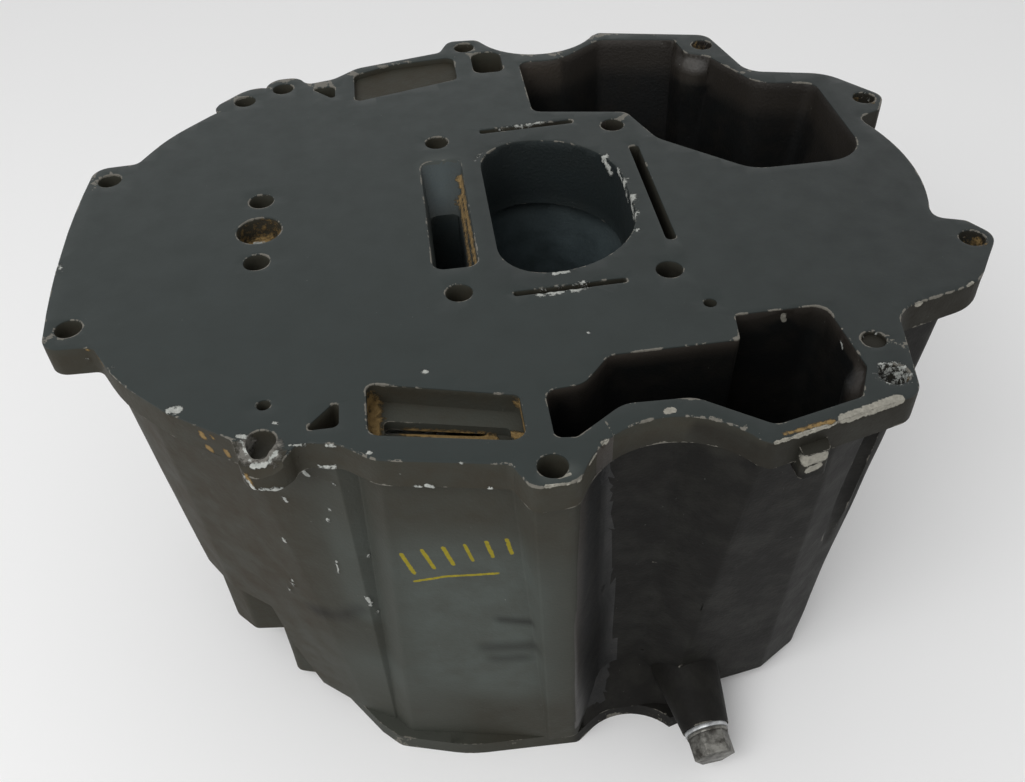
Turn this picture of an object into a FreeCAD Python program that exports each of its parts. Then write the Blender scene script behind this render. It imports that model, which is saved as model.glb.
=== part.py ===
"""Engine oil pan: one cast and machined aluminium housing with its drain plug and gasket.

Frame: the origin is the centre of the four exhaust bolt holes, on the machined deck face.
+Z is up out of the deck, +X runs along the casting's mirror line towards its notched end.
"""
import FreeCAD, Part
import math
import os

import Sketcher

V = FreeCAD.Vector
doc = FreeCAD.newDocument("oil_pan")

# Driving sizes, millimetres and degrees
SIZES = {
    # deck plate and flange
    "flange_thick": 13.0,
    "deck_half_nose": 205.0,
    "deck_half_tail": 165.2,
    "lug_reach": 9.0,
    "bolt_bore": 10.5,
    "bolt_relief": 16.0,
    # perimeter bolts, one of each mirrored pair
    "nose_bolt_x": -192.8,
    "nose_bolt_y": 52.5,
    "shoulder_bolt_x": -116.0,
    "shoulder_bolt_y": 125.0,
    "side_bolt_x": -20.0,
    "side_bolt_y": 152.0,
    "rear_bolt_x": 104.8,
    "rear_bolt_y": 129.0,
    "tail_bolt_x": 166.5,
    "tail_bolt_y": 58.5,
    # single extra bolt beside the shoulder bolt
    "extra_bolt_x": -134.8,
    "extra_bolt_y": 115.5,
    # broken lug of the near shoulder bolt
    "fracture_turn": -112.0,
    "fracture_drop": 15.0,
    "fracture_width": 21.0,
    # exhaust joint
    "exhaust_pitch_x": 84.0,
    "exhaust_pitch_y": 114.0,
    "exhaust_bolt_bore": 10.8,
    "throat_left": -23.8,
    "throat_right": 37.7,
    "throat_half_width": 50.5,
    "throat_depth": 35.0,
    "chamber_step": 5.0,
    # oil pick-up joint
    "pickup_x": -122.4,
    "pickup_pitch": 45.0,
    "pickup_bolt_bore": 10.8,
    "pickup_bore": 19.0,
    "pickup_depth": 9.0,
    # small holes
    "vent_bore": 5.0,
    "left_vent_x": -115.8,
    "left_vent_y": 107.5,
    "right_vent_x": 52.2,
    "right_vent_y": 80.0,
    "spot_y": 110.5,
    "spot_bore": 9.0,
    "spot_depth": 2.0,
    # body under the flange
    "wall_depth": 212.0,
    "rim_depth": 221.0,
    "swell_depth": 85.0,
    "nose_depth": 150.0,
    "foot_depth": 190.0,
    "heel_depth": 215.0,
    "well_depth": 205.0,
    # shallow recesses in the deck
    "far_recess_depth": 3.0,
    "near_recess_depth": 9.0,
    "scoop_depth": 12.0,
    "groove_depth": 3.0,
    # drain joint
    "drain_x": 50.5,
    "drain_y": -151.0,
    "drain_z": -199.5,
    "drain_turn": 5.0,
    "drain_dip": 10.0,
    "boss_dia": 22.0,
    "boss_length": 38.0,
    "boss_draft": 9.0,
    "thread_dia": 14.0,
    "thread_length": 16.0,
    "thread_clearance": 0.3,
    "gasket_dia": 20.6,
    "gasket_thick": 2.0,
    "head_across_flats": 17.0,
    "head_height": 10.0,
    "collar_dia": 19.6,
    "collar_thick": 1.6,
}

sheet = doc.addObject("Spreadsheet::Sheet", "Sizes")
for row, (name, size) in enumerate(SIZES.items(), start=1):
    sheet.set("A%d" % row, name)
    sheet.set("B%d" % row, str(size))
    sheet.setAlias("B%d" % row, name)
doc.recompute()


def size(name):
    """The present value of one driving size."""
    return float(sheet.get(name))


def plane(body, role):
    """One of the body's own origin planes."""
    return next(f for f in body.Origin.OriginFeatures if f.Role == role)


def new_sketch(body, name, role="XY_Plane", offset=None):
    """An empty sketch on one of the body's origin planes."""
    sketch = body.newObject("Sketcher::SketchObject", name)
    sketch.AttachmentSupport = (plane(body, role), [""])
    sketch.MapMode = "FlatFace"
    if offset is not None:
        sketch.AttachmentOffset = offset
    return sketch


def below_deck(name):
    """Attachment offset of a sketch that lies the named depth under the deck."""
    return FreeCAD.Placement(V(0, 0, -size(name)), FreeCAD.Rotation())


def trim(before, corner, after):
    """Start, middle and end of the arc that rounds a corner (x, y, radius)."""
    point = V(corner[0], corner[1], 0)
    to_before = (before - point).normalize()
    to_after = (after - point).normalize()
    half = to_before.getAngle(to_after) / 2
    reach = corner[2] / math.tan(half)
    inward = (to_before + to_after).normalize()
    middle = point + inward * (corner[2] / math.sin(half) - corner[2])
    return point + to_before * reach, middle, point + to_after * reach


def draw(sketch, path):
    """Close a profile through corners (x, y, radius) and arcs (start, middle, end)."""
    ends = []
    for place, item in enumerate(path):
        if len(item) == 6:
            ends.append([V(item[0], item[1], 0), V(item[2], item[3], 0), V(item[4], item[5], 0)])
            continue
        last = path[place - 1]
        following = path[(place + 1) % len(path)]
        before = V(last[-2], last[-1], 0) if len(last) == 6 else V(last[0], last[1], 0)
        after = V(following[0], following[1], 0)
        ends.append(list(trim(before, item, after)))
    curves = []
    for place, (start, middle, end) in enumerate(ends):
        curves.append(Part.Arc(start, middle, end))
        curves.append(Part.LineSegment(end, ends[(place + 1) % len(ends)][0]))
    for curve in sketch.addGeometry(curves, False):
        sketch.addConstraint(Sketcher.Constraint("Block", curve))


def mirrored(path):
    """The same run on the other side of the mirror line, drawn back towards the start."""
    back = []
    for item in reversed(path):
        if len(item) == 6:
            back.append((item[4], -item[5], item[2], -item[3], item[0], -item[1]))
        else:
            back.append((item[0], -item[1], item[2]))
    return back


def drafted(path, drafts, on_mirror_line=False):
    """The outline's foot: each run moved inwards by its draft, with the same corner roundings.

    An outline that starts and ends on the mirror line keeps both ends there.
    """
    lines = []
    for place, draft in enumerate(drafts):
        start = V(path[place][0], path[place][1], 0)
        following = path[(place + 1) % len(path)]
        along = (V(following[0], following[1], 0) - start).normalize()
        lines.append((start + V(along.y, -along.x, 0) * draft, along))
    mirror_line = (V(0, 0, 0), V(1, 0, 0))
    before = [mirror_line] + lines if on_mirror_line else [lines[-1]] + lines[:-1]
    after = lines + [mirror_line] if on_mirror_line else lines
    foot = []
    for (point, along), (other, beyond), corner in zip(before, after, path):
        meet = point + along * ((other - point).cross(beyond).z / along.cross(beyond).z)
        foot.append((meet.x, meet.y, corner[2]))
    return foot


# The most of a straight run that the roundings at its two ends may take up
FULLEST_RUN = 0.9


def fitted(*outlines):
    """The outlines with each rounding small enough for the runs beside it on all of them."""
    fits = [1.0] * len(outlines[0])
    for path in outlines:
        points = [V(x, y, 0) for x, y, radius in path]
        reaches = []
        for place, (x, y, radius) in enumerate(path):
            to_before = points[place - 1] - points[place]
            to_after = points[(place + 1) % len(path)] - points[place]
            reaches.append(radius / math.tan(to_before.getAngle(to_after) / 2))
        for place in range(-1, len(path) - 1):
            run = (points[place + 1] - points[place]).Length
            fit = FULLEST_RUN * run / (reaches[place] + reaches[place + 1])
            fits[place] = min(fits[place], fit)
            fits[place + 1] = min(fits[place + 1], fit)
    return [[(x, y, radius * fit) for (x, y, radius), fit in zip(path, fits)] for path in outlines]


def flipped(path):
    """The run with every y turned to the other side, in the same order."""
    return [tuple(-n if place % 2 else n for place, n in enumerate(item)) if len(item) == 6
            else (item[0], -item[1], item[2]) for item in path]


def centred_circle(sketch, diameter):
    """A circle on the sketch's origin whose diameter is a driving size."""
    ring = sketch.addGeometry(Part.Circle(V(0, 0, 0), V(0, 0, 1), size(diameter) / 2), False)
    sketch.addConstraint(Sketcher.Constraint("Coincident", ring, 3, -1, 1))
    width = sketch.addConstraint(Sketcher.Constraint("Diameter", ring, size(diameter)))
    sketch.setExpression("Constraints[%d]" % width, "Sizes.%s" % diameter)


def circles(sketch, places, bore):
    """Circles at (x name, y name, x share, y share) with one shared diameter."""
    for x_name, y_name, x_sign, y_sign in places:
        x = size(x_name) * x_sign
        y = size(y_name) * y_sign
        index = sketch.addGeometry(Part.Circle(V(x, y, 0), V(0, 0, 1), size(bore) / 2), False)
        diameter = sketch.addConstraint(Sketcher.Constraint("Diameter", index, size(bore)))
        along = sketch.addConstraint(Sketcher.Constraint("DistanceX", -1, 1, index, 3, x))
        across = sketch.addConstraint(Sketcher.Constraint("DistanceY", -1, 1, index, 3, y))
        sketch.setExpression("Constraints[%d]" % diameter, "Sizes.%s" % bore)
        sketch.setExpression("Constraints[%d]" % along, "Sizes.%s * %s" % (x_name, x_sign))
        sketch.setExpression("Constraints[%d]" % across, "Sizes.%s * %s" % (y_name, y_sign))


def pad(body, name, sketch, length, downwards=True):
    """A pad whose length follows an expression of the driving sizes."""
    feature = body.newObject("PartDesign::Pad", name)
    feature.Profile = sketch
    feature.setExpression("Length", length)
    feature.Reversed = downwards
    return feature


def pocket(body, name, sketch, length, upwards=False):
    """A pocket whose depth follows an expression; it cuts down into the deck by itself."""
    feature = body.newObject("PartDesign::Pocket", name)
    feature.Profile = sketch
    feature.setExpression("Length", length)
    feature.Reversed = upwards
    return feature


def loft(body, kind, name, upper, lower):
    """A straight-sided loft between two sketches."""
    feature = body.newObject("PartDesign::" + kind, name)
    feature.Profile = upper
    feature.Sections = [lower]
    feature.Ruled = True
    return feature


# Casting
pan = doc.addObject("PartDesign::Body", "oil_pan")
pan.Label = "oil_pan"

nose = -size("deck_half_nose")
tail = size("deck_half_tail")
lug = size("lug_reach")
nose_x, nose_y = size("nose_bolt_x"), size("nose_bolt_y")
shoulder_x, shoulder_y = size("shoulder_bolt_x"), size("shoulder_bolt_y")
side_x, side_y = size("side_bolt_x"), size("side_bolt_y")
rear_x, rear_y = size("rear_bolt_x"), size("rear_bolt_y")
tail_x, tail_y = size("tail_bolt_x"), size("tail_bolt_y")
bolt_lug = lug + 1

# The flange outline of one side, from the nose to the tail: a lug round each bolt hole,
# straight or slightly bowed runs between the lugs, and the arch that clears the neighbour part
flange_side = [
    (nose_x - bolt_lug + 1.5, nose_y + lug + 2.5, 8),
    (nose_x + bolt_lug + 1, nose_y + lug + 3.5, 5),
    (-170.5, 85.5, 80),
    (-150.0, 105.5, 60),
    (shoulder_x - bolt_lug, shoulder_y - 2.5, 4),
    (shoulder_x - 7, shoulder_y + lug + 2, 9),
    (shoulder_x + 8, shoulder_y + lug + 2, 8),
    (shoulder_x + 12, shoulder_y + 2.5, 5),
    (-90.0, 130.5, 12),
    (-78.0, 140.0, 14),
    (side_x - 13.5, side_y - 3, 4),
    (side_x - 8, side_y + lug, 6),
    (side_x + 7.5, side_y + lug - 1, 6),
    (side_x + 11.5, side_y + 1, 21.0, 136.4, side_x + 70, side_y),
    (side_x + 74, side_y + 2.5, 3),
    (rear_x + 5.5, rear_y + lug + 2, 9),
    (rear_x + 15, rear_y - 33, 13),
    (157.0, 86.0, 22),
    (tail_x + bolt_lug, tail_y, 8),
    (tail_x + 3, tail_y - 12, 4),
    (tail_x - 8.5, tail_y - 16.5, 5),
]
nose_end = (nose + 3, -nose_y - 3, nose, 0, nose + 3, nose_y + 3)
tail_end = (tail - 6.7, 36, tail, 0, tail - 6.7, -36)
flange = new_sketch(pan, "flange_outline")
draw(flange, [nose_end] + flange_side + [tail_end] + mirrored(flange_side))
pad(pan, "flange_plate", flange, "Sizes.flange_thick")

# The extra lug stands on one side only
extra_x, extra_y = size("extra_bolt_x"), size("extra_bolt_y")
extra = new_sketch(pan, "extra_lug_outline")
draw(extra, [
    (extra_x - 15.5, extra_y - 7, 4),
    (extra_x - 13, extra_y - 0.5, 5),
    (extra_x - 3, extra_y + 9.5, 12),
    (extra_x + 10, extra_y + 17, 12),
    (extra_x + 16, extra_y + 8, 4),
    (extra_x + 6, extra_y - 16, 8),
])
pad(pan, "extra_lug", extra, "Sizes.flange_thick")

# Small cast stub on the flange edge beside the arch
stub_top = 6.0
stub = new_sketch(pan, "stub_outline", offset=FreeCAD.Placement(V(0, 0, -stub_top), FreeCAD.Rotation()))
draw(stub, [(63, -140, 1), (75, -140, 1), (74, -154.5, 2), (64, -156.5, 2)])
pad(pan, "stub", stub, "Sizes.flange_thick - 1")

# Bolt holes through the flange in mirrored pairs, with the single hole of the extra lug
both = (1, -1)
bolt_holes = new_sketch(pan, "bolt_holes")
pairs = ("nose", "shoulder", "side", "rear", "tail")
circles(bolt_holes, [(p + "_bolt_x", p + "_bolt_y", 1, y) for p in pairs for y in both]
        + [("extra_bolt_x", "extra_bolt_y", 1, 1)], "bolt_bore")
pocket(pan, "bolt_bores", bolt_holes, "Sizes.flange_thick")

# Exhaust joint bolts, four at the corners of a rectangle
exhaust_holes = new_sketch(pan, "exhaust_holes")
circles(exhaust_holes, [("exhaust_pitch_x", "exhaust_pitch_y", x / 2, y / 2)
                        for x in both for y in both], "exhaust_bolt_bore")
pocket(pan, "exhaust_bores", exhaust_holes, "Sizes.flange_thick - 1")

# Oil pick-up joint: a bore between two bolt holes
pickup_holes = new_sketch(pan, "pickup_holes")
circles(pickup_holes, [("pickup_x", "pickup_pitch", 1, y / 2) for y in both], "pickup_bolt_bore")
circles(pickup_holes, [("pickup_x", "pickup_pitch", 1, 0)], "pickup_bore")
pocket(pan, "pickup_bores", pickup_holes, "Sizes.pickup_depth")

# Two small vents and a shallow spot face, all on the near side
vent_holes = new_sketch(pan, "vent_holes")
circles(vent_holes, [("left_vent_x", "left_vent_y", 1, -1), ("right_vent_x", "right_vent_y", 1, -1)],
        "vent_bore")
pocket(pan, "vent_bores", vent_holes, "Sizes.flange_thick - 1")
spot = new_sketch(pan, "spot_outline")
circles(spot, [("rear_bolt_x", "spot_y", 1, -1)], "spot_bore")
pocket(pan, "spot", spot, "Sizes.spot_depth")

# Three-sided vents near the shoulder bolts, the oval one beside the far side bolt,
# the slot in the near recess and the narrow slot beside the throat
openings = new_sketch(pan, "opening_outlines")
vent = [(-102, 122.5, 1.5), (-89.5, 122.5, 2.5), (-89.5, 108.5, 1.5)]
draw(openings, vent)
draw(openings, flipped(vent))
draw(openings, [(-17.5, 121.5, 5), (-17.5, 144.5, 6), (-2, 144.5, 7), (-2, 121.5, 4)])
draw(openings, [(-75, -113.5, 2), (-31, -124.5, 2), (-31, -135.5, 3), (-75, -125.5, 3)])
draw(openings, [(45.6, -37.5, 2), (45.6, 37, 2), (50, 37, 2), (50, -37.5, 2)])
pocket(pan, "openings", openings, "Sizes.flange_thick")

# Recesses near the side bolts: the far one shallow, the near one deeper
far_recess = new_sketch(pan, "far_recess_outline")
draw(far_recess, [(-79.5, 104, 3), (-79.5, 132.5, 5), (-60, 140, 30), (-26.8, 142.5, 5),
                  (-26.8, 117.5, 3)])
pocket(pan, "far_recess", far_recess, "Sizes.far_recess_depth")
near_recess = new_sketch(pan, "near_recess_outline")
draw(near_recess, [(-79.8, -102.5, 3), (-26.5, -117.5, 3), (-26.5, -139.5, 5), (-79.8, -128, 5)])
pocket(pan, "near_recess", near_recess, "Sizes.near_recess_depth")

# The near shoulder lug has broken away outwards from its bolt hole, down a slope
fracture_place = FreeCAD.Placement(
    V(size("shoulder_bolt_x"), -size("shoulder_bolt_y"), 0),
    FreeCAD.Rotation(V(0, 0, 1), size("fracture_turn")).multiply(FreeCAD.Rotation(V(1, 0, 0), 90)))
fracture_side = new_sketch(pan, "fracture_side", offset=fracture_place)
slope_start, slope_end = 1.5, 22.0
slope_edge = [
    V(slope_start, 1, 0),
    V(slope_start, -0.4, 0),
    V(slope_end, -size("fracture_drop"), 0),
    V(slope_end, 1, 0),
]
fracture_side.addGeometry(
    [Part.LineSegment(slope_edge[n - 1], slope_edge[n]) for n in range(len(slope_edge))], False)
fracture = pocket(pan, "fracture", fracture_side, "Sizes.fracture_width")
fracture.Midplane = True

# Two shallow grooves across the ends of the throat
grooves = new_sketch(pan, "groove_outlines")
draw(grooves, [(-21, 61, 1.3), (-21, 64.5, 1.3), (24, 66, 1.3), (24, 62.5, 1.3)])
draw(grooves, [(-21, -63, 1.3), (-21, -60, 1.3), (24, -59, 1.3), (24, -62, 1.3)])
pocket(pan, "grooves", grooves, "Sizes.groove_depth")

# Body wall of one side under the flange, from the nose to the tail: each corner with its
# rounding, and how far the run after it is drafted inwards at the foot
wall_side = [
    (-200.0, 0.0, 60, 12.0),
    (-194.0, 32.0, 30, 10.5),
    (-181.5, 58.0, 10, 10.5),
    (-166.0, 79.0, 14, 12.0),
    (-128.0, 109.0, 20, 9.0),
    (-93.0, 128.0, 7, 11.0),
    (-85.5, 125.5, 5, -1.0),
    (-78.0, 135.5, 5, 8.7),
    (-33.0, 144.5, 5, 12.5),
    (side_x - 7, side_y + 4, 5, 16.8),
    (side_x + 6, side_y + 4, 5, 4.7),
    (2.2, 131.5, 14, 17.5),
    (28.4, 131.5, 14, 13.0),
    (53.0, 149.7, 4, 26.8),
    (81.0, 145.2, 5, 20.0),
    (110.0, 127.5, 10, 3.0),
    (116.0, 94.0, 8, 8.6),
    (150.0, 81.0, 12, 20.9),
    (160.0, 58.0, 10, 13.6),
    (154.0, 40.0, 5, 12.7),
    (160.0, 0.0, 60, 0.0),
]
wall_top_side = [corner[:3] for corner in wall_side]
wall_foot_side = drafted(wall_top_side, [corner[3] for corner in wall_side[:-1]], on_mirror_line=True)
top_path, foot_path = fitted(wall_top_side + mirrored(wall_top_side[1:-1]),
                             wall_foot_side + mirrored(wall_foot_side[1:-1]))
wall_top = new_sketch(pan, "wall_top", offset=below_deck("flange_thick"))
draw(wall_top, top_path)
wall_foot = new_sketch(pan, "wall_foot", offset=below_deck("wall_depth"))
draw(wall_foot, foot_path)
loft(pan, "AdditiveLoft", "body_walls", wall_top, wall_foot)

# Room for the bolt heads where the walls run under the rear bolts
reliefs = new_sketch(pan, "bolt_relief_outlines", offset=below_deck("flange_thick"))
circles(reliefs, [("rear_bolt_x", "rear_bolt_y", 1, y) for y in both], "bolt_relief")
pocket(pan, "bolt_reliefs", reliefs, "Sizes.wall_depth")

# Below mid height the walls swell out again beside the rear bolts
swell_top = [(95, 100, 3), (97, 106, 4), (103, 102, 8), (113, 89, 8), (119, 76, 6), (110, 68, 3)]
swell_foot = [(94, 100, 3), (96, 109, 4), (105, 104.5, 10), (121, 89, 12), (130, 72, 8), (118, 64, 3)]
for name, turn in (("far_swell", list), ("near_swell", mirrored)):
    upper = new_sketch(pan, name + "_top", offset=below_deck("swell_depth"))
    draw(upper, turn(swell_top))
    lower = new_sketch(pan, name + "_foot", offset=below_deck("wall_depth"))
    draw(lower, turn(swell_foot))
    loft(pan, "AdditiveLoft", name, upper, lower)

# The nose stops higher than the sump: everything under its lower edge is cut away from the side
nose_cut = new_sketch(pan, "nose_cut_side", "XZ_Plane")
nose_floor = -size("nose_depth")
cut_floor = -size("rim_depth") - 10
cut_edge = [
    V(nose - 10, nose_floor, 0),
    V(-144, nose_floor, 0),
    V(-139, nose_floor - 32, 0),
    V(-130, -size("wall_depth"), 0),
    V(-130, cut_floor, 0),
    V(nose - 10, cut_floor, 0),
]
nose_cut.addGeometry(
    [Part.LineSegment(cut_edge[n - 1], cut_edge[n]) for n in range(len(cut_edge))], False)
nose_trim = pan.newObject("PartDesign::Pocket", "nose_trim")
nose_trim.Profile = nose_cut
nose_trim.Type = 1
nose_trim.Midplane = True

# Under the nose two set-back webs step down to the sump
foot_side = [
    (-176.0, 34.0, 10),
    (-170.0, 59.0, 8),
    (-160.0, 69.5, 5),
    (-128.0, 73.0, 8),
]
foot = new_sketch(pan, "nose_foot_outline", offset=below_deck("flange_thick"))
draw(foot, foot_side + mirrored(foot_side))
pad(pan, "nose_foot", foot, "Sizes.foot_depth - Sizes.flange_thick")
heel_side = [
    (-146.0, 40.0, 8),
    (-144.0, 80.5, 5),
    (-134.5, 83.5, 3),
    (-110.0, 90.0, 8),
]
heel = new_sketch(pan, "nose_heel_outline", offset=below_deck("flange_thick"))
draw(heel, heel_side + mirrored(heel_side))
pad(pan, "nose_heel", heel, "Sizes.heel_depth - Sizes.flange_thick")

# Machined rim round the sump's foot
rim_side = [
    (-122.0, 92.0, 14),
    (-102.0, 118.5, 14),
    (-93.0, 127.0, 10),
    (-60.0, 136.5, 60),
    (-7.5, 138.0, 5),
    (-1.5, 133.5, 22.0, 127.5, 38.0, 137.0),
    (52.0, 133.0, 6),
    (62.0, 118.0, 8),
    (104.0, 103.0, 10),
    (119.0, 89.0, 10),
    (128.0, 70.0, 12),
    (138.0, 40.0, 10),
]
rim = new_sketch(pan, "rim_outline", offset=below_deck("wall_depth"))
draw(rim, rim_side + mirrored(rim_side))
pad(pan, "rim", rim, "Sizes.rim_depth - Sizes.wall_depth")

# A sloped shelf fills the foot of each arch
shelf_rise = 26.0
shelf_back = [(-6, 100, 2), (-6, 121, 2), (9, 115.5, 12), (36, 115.5, 12), (48, 120, 2), (48, 100, 2)]
shelf_front = [(-6, 100, 2), (-6, 136.5, 2), (7, 128, 20), (32, 128, 20), (50, 132.5, 2), (50, 100, 2)]
for name, turn in (("far_shelf", list), ("near_shelf", mirrored)):
    upper = new_sketch(pan, name + "_top", offset=FreeCAD.Placement(
        V(0, 0, shelf_rise - size("wall_depth")), FreeCAD.Rotation()))
    draw(upper, turn(shelf_back))
    lower = new_sketch(pan, name + "_foot", offset=below_deck("wall_depth"))
    draw(lower, turn(shelf_front))
    loft(pan, "AdditiveLoft", name, upper, lower)

# Drain boss, dipped a little under level and turned a little towards the tail
drain_turn = FreeCAD.Rotation(V(0, 0, 1), size("drain_turn"))
drain_tilt = FreeCAD.Rotation(V(1, 0, 0), 90 + size("drain_dip"))
drain_place = FreeCAD.Placement(
    V(size("drain_x"), size("drain_y"), size("drain_z")), drain_turn.multiply(drain_tilt))
boss = new_sketch(pan, "drain_boss_outline", offset=drain_place)
centred_circle(boss, "boss_dia")
boss_pad = pad(pan, "drain_boss", boss, "Sizes.boss_length")
boss_pad.setExpression("TaperAngle", "Sizes.boss_draft")

# Cavities under the deck, open below: one behind the nose and one at the tail
cavity_side = [
    (-165.0, 30.0, 14),
    (-157.0, 52.0, 10),
    (-114.0, 90.0, 14),
    (-86.0, 114.0, 8),
    (-34.0, 124.0, 8),
    (-26.0, 72.0, 8),
    (-54.0, 70.0, 8),
    (-58.0, 46.0, 8),
]
cavity = new_sketch(pan, "cavity_outline", offset=below_deck("rim_depth"))
draw(cavity, cavity_side + mirrored(cavity_side))
pocket(pan, "cavity", cavity, "Sizes.rim_depth - Sizes.flange_thick", upwards=True)
tail_cavity = new_sketch(pan, "tail_cavity_outline", offset=below_deck("rim_depth"))
draw(tail_cavity, [(60, -6, 8), (128, -5, 8), (134, -24, 12), (126, -62, 10), (104, -82, 8), (60, -74, 8)])
pocket(pan, "tail_cavity", tail_cavity, "Sizes.rim_depth - Sizes.flange_thick", upwards=True)

# Oil wells: each corner of the mouth with its rounding, and how far the run after it has
# moved inwards at the closed floor; the near well leans towards the middle
far_well_side = [
    (6.6, 129.5, 5, 19.0),
    (28.0, 128.0, 30, 22.0),
    (53.0, 146.5, 9, 31.0),
    (92.0, 138.0, 5, 9.5),
    (94.0, 122.5, 5, 19.0),
    (105.0, 116.0, 6, 16.5),
    (120.5, 83.8, 16, 16.0),
    (148.5, 77.5, 7, 24.0),
    (149.5, 7.5, 24, 3.5),
    (96.0, 7.5, 24, 3.2),
    (60.0, 41.5, 16, 3.7),
    (51.0, 68.0, 6, 1.0),
    (6.6, 77.0, 5, 3.4),
]
near_well_side = [
    (-17.3, -116.8, 5, -16.0),
    (-3.0, -115.8, 10, -8.5),
    (8.5, -102.5, 6, -14.5),
    (57.5, -102.5, 5, -3.3),
    (59.5, -88.5, 5, -4.0),
    (94.3, -88.5, 6, 6.5),
    (97.0, -124.0, 6, 15.0),
    (90.0, -138.0, 6, 29.0),
    (57.0, -146.0, 6, 21.0),
    (33.5, -128.6, 12, 19.0),
    (8.5, -127.6, 12, 19.0),
    (-10.0, -140.5, 5, 27.0),
    (-17.3, -139.5, 5, 8.0),
]
for name, side in (("far_well", far_well_side), ("near_well", near_well_side)):
    mouth = [corner[:3] for corner in side]
    mouth_path, floor_path = fitted(mouth, drafted(mouth, [corner[3] for corner in side]))
    mouth_sketch = new_sketch(pan, name + "_mouth")
    draw(mouth_sketch, mouth_path)
    floor_sketch = new_sketch(pan, name + "_floor", offset=below_deck("well_depth"))
    draw(floor_sketch, floor_path)
    loft(pan, "SubtractiveLoft", name, mouth_sketch, floor_sketch)

# Exhaust throat and the wider chamber under it
left, right, half = size("throat_left"), size("throat_right"), size("throat_half_width")
step = size("chamber_step")
throat = new_sketch(pan, "throat_outline")
draw(throat, [(left, -half, 20), (left, half, 20), (right, half, 40), (right, -half, 40)])
pocket(pan, "throat", throat, "Sizes.throat_depth")
chamber = new_sketch(pan, "chamber_outline", offset=below_deck("rim_depth"))
draw(chamber, [(left, -half - step, 20), (left, half + step, 20), (right + step - 1, half + step, 40),
               (right + step - 1, -half - step, 40)])
pocket(pan, "chamber", chamber, "Sizes.rim_depth - Sizes.throat_depth", upwards=True)

# Water passage beside the throat: a scooped mouth that runs down into a slot right through
scoop_mouth = new_sketch(pan, "scoop_mouth")
draw(scoop_mouth, [(-51, -41, 5), (-51, 41, 5), (-32.2, 41, 5), (-32.2, -41, 5)])
scoop_floor = new_sketch(pan, "scoop_floor", offset=below_deck("scoop_depth"))
slot_outline = [(-49.5, -40, 4), (-49.5, 14.5, 4), (-36, 14.5, 4), (-36, -40, 4)]
draw(scoop_floor, slot_outline)
loft(pan, "SubtractiveLoft", "scoop", scoop_mouth, scoop_floor)
passage = new_sketch(pan, "passage_outline", offset=below_deck("scoop_depth"))
draw(passage, slot_outline)
pocket(pan, "passage", passage, "Sizes.rim_depth - Sizes.scoop_depth")

# Drain bore through the boss into the near well
drain_bore = new_sketch(pan, "drain_bore_outline", offset=drain_place)
centred_circle(drain_bore, "thread_dia")
pocket(pan, "drain_bore", drain_bore, "Sizes.boss_length + 8")
pan.Tip = pan.Group[-1]

# Drain gasket: a flat ring that lies on the boss face
gasket = doc.addObject("PartDesign::Body", "drain_gasket")
gasket.Label = "drain_gasket"
gasket.Placement = drain_place
gasket_ring = new_sketch(gasket, "gasket_ring")
centred_circle(gasket_ring, "gasket_dia")
centred_circle(gasket_ring, "thread_dia")
pad(gasket, "gasket_disc", gasket_ring, "Sizes.gasket_thick", downwards=False)

# Drain plug: a shank in the bore, a collar on the gasket and a hexagon head
plug = doc.addObject("PartDesign::Body", "drain_plug")
plug.Label = "drain_plug"
plug.Placement = drain_place
seat = FreeCAD.Placement(V(0, 0, size("gasket_thick")), FreeCAD.Rotation())
shank = new_sketch(plug, "shank_outline", offset=seat)
ring = shank.addGeometry(Part.Circle(V(0, 0, 0), V(0, 0, 1), size("thread_dia") / 2), False)
shank.addConstraint(Sketcher.Constraint("Coincident", ring, 3, -1, 1))
width = shank.addConstraint(Sketcher.Constraint("Diameter", ring, size("thread_dia")))
shank.setExpression("Constraints[%d]" % width, "Sizes.thread_dia - Sizes.thread_clearance")
pad(plug, "shank", shank, "Sizes.thread_length + Sizes.gasket_thick")
collar = new_sketch(plug, "collar_outline", offset=seat)
centred_circle(collar, "collar_dia")
pad(plug, "collar", collar, "Sizes.collar_thick", downwards=False)
head = new_sketch(plug, "head_outline", offset=seat)
corner = size("head_across_flats") / math.sqrt(3)
corners = [V(corner * math.cos(math.radians(60 * n)), corner * math.sin(math.radians(60 * n)), 0)
           for n in range(6)]
head.addGeometry([Part.LineSegment(corners[n - 1], corners[n]) for n in range(6)], False)
pad(plug, "head", head, "Sizes.collar_thick + Sizes.head_height", downwards=False)

doc.recompute()
for item in doc.Objects:
    if "Invalid" in item.State or "Error" in item.State:
        raise RuntimeError("%s failed: %s" % (item.Label, item.getStatusString()))
os.makedirs("parts", exist_ok=True)
for body in (pan, gasket, plug):
    shape = body.Shape
    if shape.isNull() or not shape.isValid() or len(shape.Solids) != 1:
        raise RuntimeError("%s has no sound single solid" % body.Label)
    print("%s %.1f cm3" % (body.Label, shape.Volume / 1000))
for body in (pan, gasket, plug):
    body.Shape.exportStep("parts/%s.step" % body.Label)
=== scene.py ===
import math

import bmesh
import bpy
import numpy as np
from mathutils import Matrix, Vector, kdtree, noise


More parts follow.
